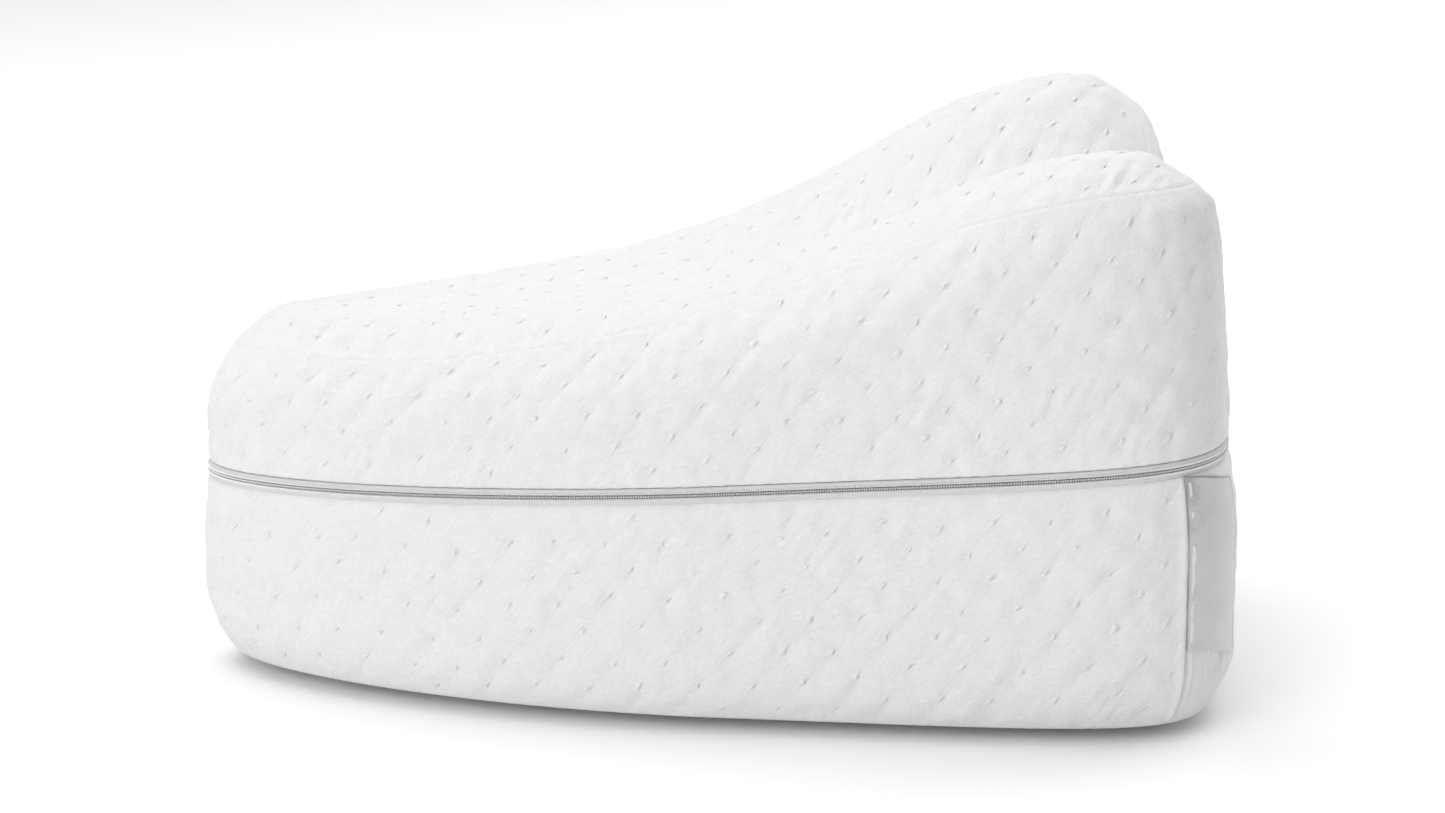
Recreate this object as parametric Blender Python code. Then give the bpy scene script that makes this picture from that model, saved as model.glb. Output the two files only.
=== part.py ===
"""A knee pillow: one filled cushion in a sewn cover, a zip all round its waist, and a bare satin label.

The units are metres, with +Z up and +X towards the high end. The near side is -Y, the cushion rests on
z = 0, and the origin is under the middle of its box.
"""

import bmesh
import bpy
import numpy as np

MM = 0.001

# The plan outline, a superellipse whose half width grows towards the high end
HALF_LENGTH = 125 * MM
HALF_WIDTH_MIDDLE = 69.9 * MM
HALF_WIDTH_TAPER = 18.4 * MM
HALF_WIDTH_ENDS = 2.3 * MM
LOW_END_POWER = 1.9
HIGH_END_POWER = 5.45
PULL_EVENING = 26 * MM

# The sections along the pillow, from the low end at station -1 to the high end at station 1
SECTION_COLUMNS = ("station", "crest_mm", "roll_mm", "seam_turn_deg", "far_lobe_extra_mm")
SECTIONS = (
    (-1.00, 97.4, 27.3, 35.0, 0.0),
    (-0.70, 92.9, 27.1, 43.0, 0.8),
    (-0.35, 95.3, 26.8, 51.5, -0.3),
    (0.00, 104.0, 26.5, 59.3, -1.3),
    (0.30, 118.7, 25.8, 55.0, -0.6),
    (0.55, 132.8, 25.0, 44.0, 1.1),
    (0.75, 138.0, 24.4, 43.0, 1.8),
    (0.90, 137.9, 23.9, 44.5, 2.0),
    (1.00, 134.9, 23.5, 45.5, 2.0),
)

# The leg channel between the lobes, which deepens from one station to the other
CHANNEL_START = -0.35
CHANNEL_FULL = 0.9
CHANNEL_SHALLOW = 2 * MM
CHANNEL_DEEP = 32 * MM
LOBE_PLACE_LOW = 0.6
LOBE_PLACE_HIGH = 0.72
LOBE_BLEND = 15 * MM

# The rolls over the two ends, and the lean of the upper band towards the top
END_ROLL_LOW = 33 * MM
END_ROLL_HIGH = 27.3 * MM
END_ROLL_SQUASH_LOW = 1.0
END_ROLL_SQUASH_HIGH = 0.85
LEAN_SIDES = 1.5 * MM
LEAN_LOW_END = 0.3 * MM
LEAN_HIGH_END = 2.5 * MM

# The lower half: its bottom roll and the swell of the lower band
BOTTOM_ROLL_LOW = 20 * MM
BOTTOM_ROLL_HIGH = 18.5 * MM
SWELL_LOW = 1.0 * MM
SWELL_HIGH = 2.5 * MM
LOWER_SEAM_TURN = 40

# The waist, where the zip sits in a groove that rises towards the high end
WAIST_HEIGHT = 58.8 * MM
WAIST_RISE = 8.6 * MM
GROOVE_HALF_HEIGHT = 2.5 * MM
GROOVE_DEPTH = 3.0 * MM
LIP_INSET = 0.9 * MM
LIP_REACH = 3.5 * MM

# The sewn channels of the cover's seams
SEAM_DEPTH = 0.9 * MM
SEAM_HALF_TURN = 6

# The zip's pieces and the gap that parts each from its neighbour
GAP = 0.35 * MM
TAPE_FACE_INSET = 0.4 * MM
TAPE_ROUND = 0.45 * MM
COIL_HALF_HEIGHT = 0.25 * MM
COIL_FACE_INSET = 1.3 * MM

# The zip's slider, on the far side
SLIDER_STATION = -0.3
SLIDER_LENGTH = 9 * MM
SLIDER_HEIGHT = 4.6 * MM
SLIDER_PROUD = 3.2 * MM
SLIDER_BEVEL = 0.8 * MM
PULL_WIDTH = 4 * MM
PULL_LENGTH = 16 * MM
PULL_THICKNESS = 1.2 * MM
PULL_STEP = 0.4 * MM
PULL_BEVEL = 0.3 * MM

# The label at the near corner of the high end
LABEL_START = 259.8 * MM
LABEL_LENGTH = 17 * MM
LABEL_LEAN = 2 * MM
LABEL_HEIGHT = 42 * MM
LABEL_THICKNESS = 0.7 * MM
LABEL_BELOW_WAIST = 2.9 * MM
LABEL_DROP = 3.2 * MM

# How finely the pieces are divided
STEPS_ROUND = 96
STEPS_DENSE = 2400
TOP_RINGS = 9
LABEL_STEPS = 10
SPINE_LOW = -0.55
SPINE_HIGH = 0.6


def section(name, station):
    """A column of SECTIONS at any stations, on a smooth curve through the rows."""
    table = np.array(SECTIONS)
    places = table[:, SECTION_COLUMNS.index("station")]
    values = table[:, SECTION_COLUMNS.index(name)]
    slopes = np.gradient(values, places)
    station = np.clip(station, places[0], places[-1])
    row = np.clip(np.searchsorted(places, station) - 1, 0, len(places) - 2)
    span = places[row + 1] - places[row]
    t = (station - places[row]) / span
    start = values[row] * (1 + 2 * t) * (1 - t) ** 2 + slopes[row] * span * t * (1 - t) ** 2
    end = values[row + 1] * (3 - 2 * t) * t**2 - slopes[row + 1] * span * t**2 * (1 - t)
    return start + end


def between(low, high, station):
    """A size that goes evenly from its value at the low end to its value at the high end."""
    return low + (high - low) * (station + 1) / 2


def half_width(station):
    return HALF_WIDTH_MIDDLE + HALF_WIDTH_TAPER * station + HALF_WIDTH_ENDS * station**2


def evened(values, reach):
    """The mean of each value and its neighbours round the outline, weighted towards the middle."""
    weights = np.hanning(2 * reach + 3)[1:-1]
    wrapped = np.concatenate([values[-reach:], values, values[:reach]])
    return np.convolve(wrapped, weights / weights.sum(), "valid")


def dense_outline():
    """The outline at even steps from the low tip along the near side: x, y, the outward pull and the length."""
    turn = np.linspace(-np.pi, np.pi, 4 * STEPS_DENSE, endpoint=False)
    c = np.cos(turn)
    s = np.sin(turn)
    power = np.where(c < 0, 2 / LOW_END_POWER, 2 / HIGH_END_POWER)
    x = HALF_LENGTH * np.sign(c) * np.abs(c) ** power
    y = half_width(x / HALF_LENGTH) * np.sign(s) * np.abs(s) ** power
    x = np.append(x, x[0])
    y = np.append(y, y[0])
    run = np.concatenate([[0], np.cumsum(np.hypot(np.diff(x), np.diff(y)))])
    even = np.linspace(0, run[-1], STEPS_DENSE, endpoint=False)
    x, y = np.interp(even, run, x), np.interp(even, run, y)
    along_x = np.roll(x, -1) - np.roll(x, 1)
    along_y = np.roll(y, -1) - np.roll(y, 1)
    size = np.hypot(along_x, along_y)
    reach = int(round(PULL_EVENING / (run[-1] / STEPS_DENSE)))
    pull_x = evened(along_y / size, reach)
    pull_y = evened(-along_x / size, reach)
    size = np.hypot(pull_x, pull_y)
    return x, y, pull_x / size, pull_y / size, run[-1]


class Edge:
    """The outline read at any distances round it, with the sizes that belong to each place."""

    dense = dense_outline()
    length = dense[4]

    def __init__(self, distance):
        steps = np.arange(STEPS_DENSE) * self.length / STEPS_DENSE
        self.x, self.y, self.out_x, self.out_y = (
            np.interp(distance, steps, values, period=self.length) for values in self.dense[:4]
        )
        self.station = self.x / HALF_LENGTH
        self.endness = self.out_x**2
        self.waist = WAIST_HEIGHT + WAIST_RISE * self.station
        self.swell = between(SWELL_LOW, SWELL_HIGH, self.station)
        self.bottom_roll = between(BOTTOM_ROLL_LOW, BOTTOM_ROLL_HIGH, self.station)
        end_roll = between(END_ROLL_LOW, END_ROLL_HIGH, self.station)
        squash = between(END_ROLL_SQUASH_LOW, END_ROLL_SQUASH_HIGH, self.station)
        side_roll = section("roll_mm", self.station) * MM
        self.roll_in = side_roll + (end_roll - side_roll) * self.endness
        self.roll_down = self.roll_in * (1 + (squash - 1) * self.endness)
        end_lean = between(LEAN_LOW_END, LEAN_HIGH_END, self.station)
        self.lean = LEAN_SIDES + (end_lean - LEAN_SIDES) * self.endness

    def inward(self, inset):
        return self.x - self.out_x * inset, self.y - self.out_y * inset

    def ring(self, inset, height):
        """Points this far in from the outline, at this height."""
        x, y = self.inward(inset)
        return np.stack([x, y, height + 0 * x], axis=1)


def top_height(x, y):
    """The height of the top over any place, before the edge rolls take it down."""
    station = np.clip(x / HALF_LENGTH, -1, 1)
    crest = section("crest_mm", station) * MM
    q = np.clip((station - CHANNEL_START) / (CHANNEL_FULL - CHANNEL_START), 0, 1)
    depth = CHANNEL_SHALLOW + (CHANNEL_DEEP - CHANNEL_SHALLOW) * q * q * (3 - 2 * q)
    lobe = between(LOBE_PLACE_LOW, LOBE_PLACE_HIGH, station) * half_width(station)
    channel = 0.5 + 0.5 * np.cos(np.pi * np.clip(np.abs(y) / lobe, 0, 1))
    far = section("far_lobe_extra_mm", station) * MM
    return crest - depth * channel + far * (0.5 + 0.5 * np.tanh(y / LOBE_BLEND))


def bottom_ring(edge, turn, sunk=0):
    """A ring round the bottom roll, from the wall at 0 degrees to the floor at 90."""
    a = np.radians(turn)
    inset = (edge.bottom_roll - sunk) * (1 - np.cos(a)) - (edge.swell - sunk) * np.cos(a)
    return edge.ring(inset, edge.bottom_roll - (edge.bottom_roll - sunk) * np.sin(a))


def top_ring(edge, turn, sunk=0):
    """A ring round the top roll, from the wall at 0 degrees to the crest at 90."""
    a = np.radians(turn)
    x, y = edge.inward(edge.lean + edge.roll_in * (1 - np.cos(a)))
    z = top_height(x, y) - edge.roll_down * (1 - np.sin(a))
    x, y = x - edge.out_x * sunk * np.cos(a), y - edge.out_y * sunk * np.cos(a)
    return np.stack([x, y, z - sunk * np.sin(a)], axis=1)


def cushion_rings(edge):
    """The cushion's rings from the floor to the spine of the top."""
    bottom_turns = (90, 66, LOWER_SEAM_TURN + SEAM_HALF_TURN)
    rings = [bottom_ring(edge, turn) for turn in bottom_turns]
    rings.append(bottom_ring(edge, LOWER_SEAM_TURN, SEAM_DEPTH))
    rings += [bottom_ring(edge, turn) for turn in (LOWER_SEAM_TURN - SEAM_HALF_TURN, 17, 0)]
    lip = edge.waist - GROOVE_HALF_HEIGHT
    for share in (0.35, 0.7):
        rings.append(edge.ring(-edge.swell, edge.bottom_roll + (lip - edge.bottom_roll) * share))
    rings.append(edge.ring(-0.4 * edge.swell, lip - LIP_REACH))
    rings.append(edge.ring(LIP_INSET, lip))
    rings.append(edge.ring(GROOVE_DEPTH, lip))
    lip = edge.waist + GROOVE_HALF_HEIGHT
    rings.append(edge.ring(GROOVE_DEPTH, lip))
    rings.append(edge.ring(LIP_INSET, lip))
    rings.append(edge.ring(0, lip + LIP_REACH))
    wall_top = top_ring(edge, 0)
    wall_foot = edge.ring(0, lip + LIP_REACH)
    for share in (0.35, 0.7, 1):
        rings.append(wall_foot + (wall_top - wall_foot) * share)
    seam = section("seam_turn_deg", edge.station)
    for share in (0.4, 0.75):
        rings.append(top_ring(edge, seam * share))
    rings.append(top_ring(edge, seam - SEAM_HALF_TURN))
    rings.append(top_ring(edge, seam, SEAM_DEPTH))
    rings.append(top_ring(edge, seam + SEAM_HALF_TURN))
    for share in (0.5, 1):
        rings.append(top_ring(edge, seam + SEAM_HALF_TURN + (90 - seam - SEAM_HALF_TURN) * share))
    rim = rings[-1]
    spine = np.clip(edge.x, SPINE_LOW * HALF_LENGTH, SPINE_HIGH * HALF_LENGTH)
    for share in np.linspace(0, 1, TOP_RINGS + 1)[1:]:
        x = rim[:, 0] + (spine - rim[:, 0]) * share
        y = rim[:, 1] * (1 - share)
        rings.append(np.stack([x, y, top_height(x, y)], axis=1))
    return rings


def loft(rings, closed_section):
    """A mesh between rings of points that run anticlockwise, listed from the lowest ring to the last one."""
    mesh = bmesh.new()
    rows = [[mesh.verts.new(point) for point in ring] for ring in rings]
    count = len(rows[0])
    pairs = list(zip(rows, rows[1:]))
    if closed_section:
        pairs.append((rows[-1], rows[0]))
    for lower, upper in pairs:
        for i in range(count):
            j = (i + 1) % count
            mesh.faces.new((lower[i], lower[j], upper[j], upper[i]))
    if not closed_section:
        mesh.faces.new(rows[0][::-1])
    bmesh.ops.remove_doubles(mesh, verts=mesh.verts, dist=0.01 * MM)
    return mesh


def material(name, colour, roughness, metallic=0.0):
    made = bpy.data.materials.new(name)
    made.use_nodes = True
    shader = made.node_tree.nodes["Principled BSDF"]
    shader.inputs["Base Color"].default_value = (*colour, 1)
    shader.inputs["Roughness"].default_value = roughness
    shader.inputs["Metallic"].default_value = metallic
    return made


def add_object(name, mesh, made_of, smooth_below=40):
    """Turns a bmesh into an object that stands at the middle of the pillow's own box."""
    bmesh.ops.translate(mesh, verts=mesh.verts, vec=((SWELL_LOW - SWELL_HIGH) / 2, 0, 0))
    bmesh.ops.recalc_face_normals(mesh, faces=mesh.faces)
    data = bpy.data.meshes.new(name)
    mesh.to_mesh(data)
    mesh.free()
    data.shade_smooth()
    data.set_sharp_from_angle(angle=np.radians(smooth_below))
    data.materials.append(made_of)
    made = bpy.data.objects.new(name, data)
    bpy.context.scene.collection.objects.link(made)
    return made


def add_cushion(edge):
    plush = material("white_plush", (0.86, 0.86, 0.86), 0.9)
    return add_object("cushion", loft(cushion_rings(edge), closed_section=False), plush)


def strip_rings(edge, corners):
    """The rings of a strip round the waist, from the (inset, height over the waist) of its section."""
    return [edge.ring(inset, edge.waist + height) for inset, height in corners]


def add_tape(name, edge, side, made_of):
    """A zip tape with a rounded face; side is 1 above the teeth and -1 below them."""
    back = GROOVE_DEPTH - GAP
    outer = GROOVE_HALF_HEIGHT - GAP
    inner = COIL_HALF_HEIGHT + GAP
    corners = [
        (back, side * inner),
        (TAPE_FACE_INSET + TAPE_ROUND, side * inner),
        (TAPE_FACE_INSET, side * (inner + TAPE_ROUND)),
        (TAPE_FACE_INSET, side * (outer - TAPE_ROUND)),
        (TAPE_FACE_INSET + TAPE_ROUND, side * outer),
        (back, side * outer),
    ]
    return add_object(name, loft(strip_rings(edge, corners), closed_section=True), made_of)


def add_coil(edge, made_of):
    back = GROOVE_DEPTH - GAP
    corners = [
        (back, -COIL_HALF_HEIGHT),
        (COIL_FACE_INSET, -COIL_HALF_HEIGHT),
        (COIL_FACE_INSET, COIL_HALF_HEIGHT),
        (back, COIL_HALF_HEIGHT),
    ]
    return add_object("zip_coil", loft(strip_rings(edge, corners), closed_section=True), made_of)


def distance_to(station, far_side):
    """How far round the outline the given station lies, on the near or the far side."""
    x, y = Edge.dense[0], Edge.dense[1]
    on_side = y > 0 if far_side else y < 0
    misses = np.where(on_side, np.abs(x - station * HALF_LENGTH), np.inf)
    return np.argmin(misses) * Edge.length / STEPS_DENSE


def bevelled_box(axes, low, high, bevel):
    """A box between two corners given as (along, out, up) in a frame of an origin and three directions."""
    origin, along, out, up = axes
    mesh = bmesh.new()
    bmesh.ops.create_cube(mesh, size=1)
    for vert in mesh.verts:
        share = [0.5 + vert.co[axis] for axis in range(3)]
        place = [low[axis] + (high[axis] - low[axis]) * share[axis] for axis in range(3)]
        vert.co = origin + along * place[0] + out * place[1] + up * place[2]
    bmesh.ops.bevel(mesh, geom=mesh.edges[:], offset=bevel, segments=1, affect="EDGES")
    return mesh


def add_slider():
    """The slider's body over the tapes, with its pull hanging in front of the lower band."""
    edge = Edge(np.array([distance_to(SLIDER_STATION, far_side=True)]))
    out = np.array([edge.out_x[0], edge.out_y[0], 0])
    along = np.array([edge.out_y[0], -edge.out_x[0], 0])
    up = np.array([0, 0, 1])
    axes = (np.array([edge.x[0], edge.y[0], edge.waist[0]]), along, out, up)
    back = GAP - TAPE_FACE_INSET
    half = SLIDER_HEIGHT / 2
    metal = material("painted_metal", (0.8, 0.8, 0.8), 0.35)
    body = bevelled_box(
        axes,
        (-SLIDER_LENGTH / 2, back, -half),
        (SLIDER_LENGTH / 2, SLIDER_PROUD, half),
        SLIDER_BEVEL,
    )
    pull = bevelled_box(
        axes,
        (-PULL_WIDTH / 2, SLIDER_PROUD - PULL_THICKNESS, -half - PULL_LENGTH),
        (PULL_WIDTH / 2, SLIDER_PROUD + PULL_STEP, half - PULL_STEP),
        PULL_BEVEL,
    )
    slider = add_object("zip_slider", body, metal)
    helper = add_object("zip_pull_shape", pull, metal)
    helper.hide_render = True
    helper.display_type = "WIRE"
    join = slider.modifiers.new("join_pull", "BOOLEAN")
    join.operation = "UNION"
    join.object = helper


def add_label(made_of):
    """The label, a thin sheet round the corner of the lower band, dropping a little; its foot stands further on."""
    along = np.linspace(0, LABEL_LENGTH, LABEL_STEPS + 1)
    head = Edge(LABEL_START + along)
    foot = Edge(LABEL_START + LABEL_LEAN + along)
    top = head.waist[0] - LABEL_BELOW_WAIST - LABEL_DROP * along / LABEL_LENGTH
    corners = (
        (head, GAP, 0),
        (head, GAP + LABEL_THICKNESS, 0),
        (foot, GAP + LABEL_THICKNESS, LABEL_HEIGHT),
        (foot, GAP, LABEL_HEIGHT),
    )
    mesh = bmesh.new()
    columns = []
    for edge, off, down in corners:
        columns.append([mesh.verts.new(point) for point in edge.ring(-edge.swell - off, top - down)])
    for i in range(LABEL_STEPS):
        for a, b in zip(columns, columns[1:] + columns[:1]):
            mesh.faces.new((a[i], a[i + 1], b[i + 1], b[i]))
    for end in (0, LABEL_STEPS):
        mesh.faces.new([column[end] for column in columns])
    return add_object("label", mesh, made_of)


def main():
    for old in list(bpy.data.objects):
        bpy.data.objects.remove(old, do_unlink=True)
    edge = Edge(np.arange(STEPS_ROUND) * Edge.length / STEPS_ROUND)
    tape = material("grey_zip_tape", (0.68, 0.68, 0.69), 0.75)
    teeth = material("grey_zip_teeth", (0.45, 0.45, 0.46), 0.5)
    satin = material("white_satin", (0.78, 0.78, 0.79), 0.45)
    add_cushion(edge)
    add_tape("zip_tape_upper", edge, 1, tape)
    add_tape("zip_tape_lower", edge, -1, tape)
    add_coil(edge, teeth)
    add_slider()
    add_label(satin)


main()
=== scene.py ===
"""The looks of the knee pillow: a quilted plush cover, its zip and a bare satin label.

It lies on a pale floor in soft light. The units are metres, with +Z up, +X towards the high end and -Y near.
Cloth coordinates are metres along and across the cloth as it lies on the pillow. The form is that of the
part's source, apart from the low end's roll, the high end's shoulder and the lower edge.
"""

import bpy
import numpy as np
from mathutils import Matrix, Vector


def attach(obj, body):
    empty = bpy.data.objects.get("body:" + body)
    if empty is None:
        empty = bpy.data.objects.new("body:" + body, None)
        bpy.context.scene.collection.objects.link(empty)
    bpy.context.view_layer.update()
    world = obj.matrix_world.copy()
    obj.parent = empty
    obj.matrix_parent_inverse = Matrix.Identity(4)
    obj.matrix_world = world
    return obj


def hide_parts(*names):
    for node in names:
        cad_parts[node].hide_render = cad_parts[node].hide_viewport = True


MM = 0.001

# The plan outline
HALF_LENGTH = 125 * MM
HALF_WIDTH_MIDDLE = 69.9 * MM
HALF_WIDTH_TAPER = 18.4 * MM
HALF_WIDTH_ENDS = 2.3 * MM
LOW_END_POWER = 1.9
HIGH_END_POWER = 5.45
STEPS_DENSE = 2400

# How far the pulls outward are evened along the outline, near it and deep inside, and where they change
PULL_EVENING = 26 * MM
DEEP_PULL_EVENING = 60 * MM
PULL_CHANGE = 12 * MM

# The sections along the pillow, from the low end at station -1 to the high end at station 1
SECTION_COLUMNS = ("station", "crest_mm", "roll_mm", "seam_turn_deg", "far_lobe_extra_mm")
SECTIONS = (
    (-1.00, 97.4, 27.3, 40.0, 0.0),
    (-0.70, 92.9, 27.1, 43.0, 0.8),
    (-0.35, 95.3, 26.8, 51.5, -0.3),
    (0.00, 104.0, 26.5, 59.3, -1.3),
    (0.30, 118.7, 25.8, 55.0, -0.6),
    (0.55, 132.8, 25.0, 44.0, 1.1),
    (0.75, 138.0, 24.4, 43.0, 1.8),
    (0.90, 137.9, 23.9, 44.5, 2.0),
    (1.00, 134.9, 23.5, 45.5, 2.0),
)

# The leg channel between the lobes
CHANNEL_START = -0.35
CHANNEL_FULL = 0.9
CHANNEL_SHALLOW = 2 * MM
CHANNEL_DEEP = 32 * MM
LOBE_PLACE_LOW = 0.6
LOBE_PLACE_HIGH = 0.72
LOBE_BLEND = 15 * MM

# The rolls over the ends and the lean of the upper band
END_ROLL_LOW = 26.3 * MM
END_ROLL_HIGH = 27.3 * MM
END_ROLL_SQUASH_LOW = 1.25
END_ROLL_SQUASH_HIGH = 0.85
END_ROLL_POWER_LOW = 1.18
LEAN_SIDES = 1.5 * MM
LEAN_LOW_END = 0.3 * MM
LEAN_HIGH_END = 2.5 * MM

# The push of the filling round the top seam at the high end
SHOULDER = 1.8 * MM
SHOULDER_START = 0.7
SHOULDER_FULL = 0.95
SHOULDER_PLACE = 4.5 * MM
SHOULDER_REACH = 6 * MM

# The lower half: its roll down to the bottom seam, which stands a little over the floor
BOTTOM_ROLL = 20 * MM
BOTTOM_ROLL_HIGH = 25 * MM
BOTTOM_ROLL_LOW_TIP = 29 * MM
BOTTOM_ROLL_CHANGE = 0.3
BOTTOM_SEAM_HEIGHT = 3.3 * MM
BOTTOM_REST_REACH = 22 * MM
SWELL_LOW = 1.0 * MM
SWELL_HIGH = 2.5 * MM
BOTTOM_TURN = np.radians(40)

# The waist and the zip's groove
WAIST_HEIGHT = 58.8 * MM
WAIST_RISE = 8.6 * MM
GROOVE_HALF_HEIGHT = 2.0 * MM
GROOVE_DEPTH = 3.0 * MM
LIP_INSET = 0.9 * MM
TUCK = GROOVE_DEPTH - LIP_INSET
LIP_REACH = 3.5 * MM
LIP_RUN = 3.8 * MM
LIP_SWELL_REACH = 19 * MM

# How finely the cover is divided: columns round it, rows up each panel, and the open fields
COLUMNS = 1024
UPPER_BAND_ROWS = 83
LOWER_BAND_ROWS = 74
RIM_ROWS = 28
FIELD_COLUMNS = 316
FIELD_EASINGS = 1600
FIELD_EDGE_CELLS = 5
EDGE_ROWS = np.array([0, 0.25, 0.5, 0.8, 1.15, 1.6]) * MM
FOLD_ROWS = [-1.0 * MM, -0.3 * MM]
ZIP_COLUMNS = 1300
LAY_STEPS = 501
NORMAL_STEP = 0.2 * MM

# The sewn edges of the panels, and the deeper joins where a band meets its own end
SEAM_DEPTH = 0.09 * MM
SEAM_REACH = 0.7 * MM
JOIN_DEPTH = 0.5 * MM
JOIN_REACH = 0.7 * MM
JOIN_FADE = 3 * MM
SEAM_SWELL = 1.1
SEAM_SWELL_PLACE = 1.4
SEAM_ROUNDNESS = 0.995
SEAM_CALM = 4 * MM
GATHER_HEIGHT = 0.07 * MM
GATHER_LENGTH = 2.4 * MM
GATHER_START = 0.8 * MM
GATHER_REACH = 3.5 * MM
GATHER_STRETCH = 4
GATHER_TURN = 62
UPPER_JOIN = 636
LOWER_JOIN = 389

# The tucked ticks of the quilting, their lattices' reach by the outline and the half length, and their mesh
TICK_PITCH = 13.0 * MM
TICK_ROW = 7.3 * MM
TICK_TURN = 47
TICK_TURN_SPREAD = 0.16
TICK_SIZE_SPREAD = 0.24
TICK_SIZE_DRIFT = 0.18
TICK_SIZES_KEPT = (0.35, 1.6)
BAND_LATTICE = 0.6
PANEL_LATTICE = 1.5
TICK_JITTER = 0.6 * MM
TICK_DRIFT = 0.9 * MM
TICK_DRIFT_LENGTH = 60 * MM
TICK_MARGIN = 3.0 * MM
TICK_REACH = 10 * MM
TICK_GATHER_REACH = 3.2 * MM
TICK_GATHER = 0.5
TICK_GATHER_MARGIN = 3 * MM
TICK_MARK_REACH = 4.6 * MM
NO_TICK = 9

# A tick's soft forms: turn from the slit, place across it, half length, half width and height, in mm
TICK_FORMS = (
    (0, 0.7, 1.0, 0.6, 0.24),
    (0, -1.9, 1.6, 1.0, 0.12),
    (0, -0.1, 0.9, 0.5, -0.04),
    (10, 0.0, 3.4, 2.6, -0.32),
)
# A tick's fine forms: place across the slit, half length, half width and height in mm, and change of tone
# The change of tone is painted shade in the slits and creases and a painted highlight on the buds.
TICK_DETAILS = (
    (0.0, 0.55, 0.22, -0.08, -0.10),
    (1.5, 0.85, 0.24, -0.06, -0.06),
    (0.72, 0.8, 0.40, 0.30, 0.28),
    (0.1, 2.6, 0.32, -0.05, -0.05),
)

# The soft valleys along the lines of ticks
VALLEY_DEPTH = 0.2 * MM
CROSS_VALLEY_DEPTH = 0.1 * MM
VALLEY_HALF_WIDTH = 1.9 * MM
VALLEY_CHANGE = 22 * MM
VALLEY_STRENGTH = 0.6
VALLEY_UNEVENNESS = 0.5

# The bands' edges along the zip, where the relief of the cloth fades out and a ripple takes its place
ZIP_CALM_START = -0.3 * MM
ZIP_CALM_END = 2.6 * MM
ZIP_RIPPLE = 0.06 * MM
ZIP_RIPPLE_LENGTH = 3.2 * MM
ZIP_RIPPLE_STRETCH = 5
ZIP_RIPPLE_FULL = 0.8 * MM
ZIP_RIPPLE_REACH = 3.5 * MM

# The zip: each tape's section as inset from the outline and height off the waist, and the rows of beads as
# inset, height, radii along, out and up, and pitch, all in mm
TAPE_EDGE = ((1.0, 0.44), (0.72, 0.48), (0.5, 0.7))
TAPE_BACK = 2.7
UPPER_TAPE = TAPE_EDGE + ((0.42, 1.1), (0.44, 1.4), (0.52, 1.62), (0.75, 1.8), (1.1, 1.86))
LOWER_TAPE = TAPE_EDGE + ((0.44, 1.0), (0.5, 1.4), (0.66, 1.9), (0.85, 2.15), (1.1, 2.25))
TEETH_ROW = (0.5, 0.0, (0.27, 0.34, 0.3), 0.6)
UPPER_STITCHES = (0.3, 0.72, (0.17, 0.3, 0.3), 0.4)
LOWER_STITCHES = (0.3, -0.72, (0.17, 0.3, 0.3), 0.4)
BEAD_RINGS = 3
BEAD_SIDES = 6

# The label at the near corner of the high end
LABEL_START = 261.1 * MM
LABEL_LENGTH = 18.2 * MM
LABEL_HEIGHT = 41.2 * MM
LABEL_FLARE = 0.8 * MM
LABEL_THICKNESS = 0.35 * MM
LABEL_BELOW_FOLD = 0.8 * MM
LABEL_DROP = 2.6 * MM
LABEL_OFF = 0.12 * MM
LABEL_LIFT = 0.3 * MM
LABEL_TOP_LIFT = 0.4
LABEL_WAVE = 0.1 * MM
LABEL_WAVE_LENGTH = 15 * MM
LABEL_WAVE_FULL = 0.3
LABEL_WAVE_SEED = 71
# How wide the painted shade is along the label's free edge and along its top edge
LABEL_EDGE_PAINTED_SHADE = 1.1 * MM
LABEL_TOP_PAINTED_SHADE = 0.5 * MM
LABEL_COLUMNS = 40
LABEL_ROWS = 84
LABEL_SHARP_ANGLE = 50

# The cover round the label: ticks are left out under it and weak beside it, and pleats gather below it
LABEL_COVER_MARGIN = 2 * MM
CALM_START = 244 * MM
CALM_SIZE = 0.4
CREASE_HEIGHT = 0.06 * MM
CREASE_LENGTH = 3.2 * MM
CREASE_STRETCH = 7
CREASE_TURN = 84
CREASE_SEED = 61
PLEAT_HEIGHT = 0.24 * MM
PLEAT_PITCH = 2.4 * MM
PLEAT_LEAN = 0.12
PLEAT_START = 265 * MM
PLEAT_END = 277 * MM
PLEAT_TOP = (-2 * MM, 1 * MM)
PLEAT_FOOT = (5 * MM, 12 * MM)

# The stage: the lights as name, place, size and power
FLOOR_SIZE = 30
LIGHT_AIM = Vector((0, 0, 0.06))
LIGHTS = (
    ("top_light", (-0.1, 0.1, 2.0), 2.2, 19.2),
    ("front_left_light", (-1.25, -1.25, 0.94), 1.8, 13.6),
    ("front_light", (-0.6, -1.66, 0.94), 1.8, 8.0),
    ("right_light", (1.77, 0, 0.94), 1.8, 1.6),
    ("back_right_light", (1.25, 1.25, 0.94), 1.8, 19.0),
    ("back_left_light", (-0.75, 0.75, 1.7), 1.8, 12.0),
)
WORLD_STRENGTH = 0.18
CAMERA_PLACE = (-0.0253, -0.9828, 0.28985)
CAMERA_TURN = (77.07, 0, -1.68)
CAMERA_LENS = 100.15

# The softer relief of cloth over foam, and the random waves that it is made of
WAVE_COUNT = 14
WAVE_BEATS = (0.75, 1.35)
LUMP_HEIGHT = 0.1 * MM
LUMP_LENGTH = 26 * MM
DIMPLE_HEIGHT = 0.1 * MM
DIMPLE_LENGTH = 8 * MM
PULL_HEIGHT = 0.09 * MM
PULL_LENGTH = 3.4 * MM
PULL_STRETCH = 6
PULL_TURN = 56
PULL_PATCH = 34 * MM
PULL_PATCH_EDGE = (0.1, 1.4)
BOTTOM_LIFT = 0.05 * MM

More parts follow.
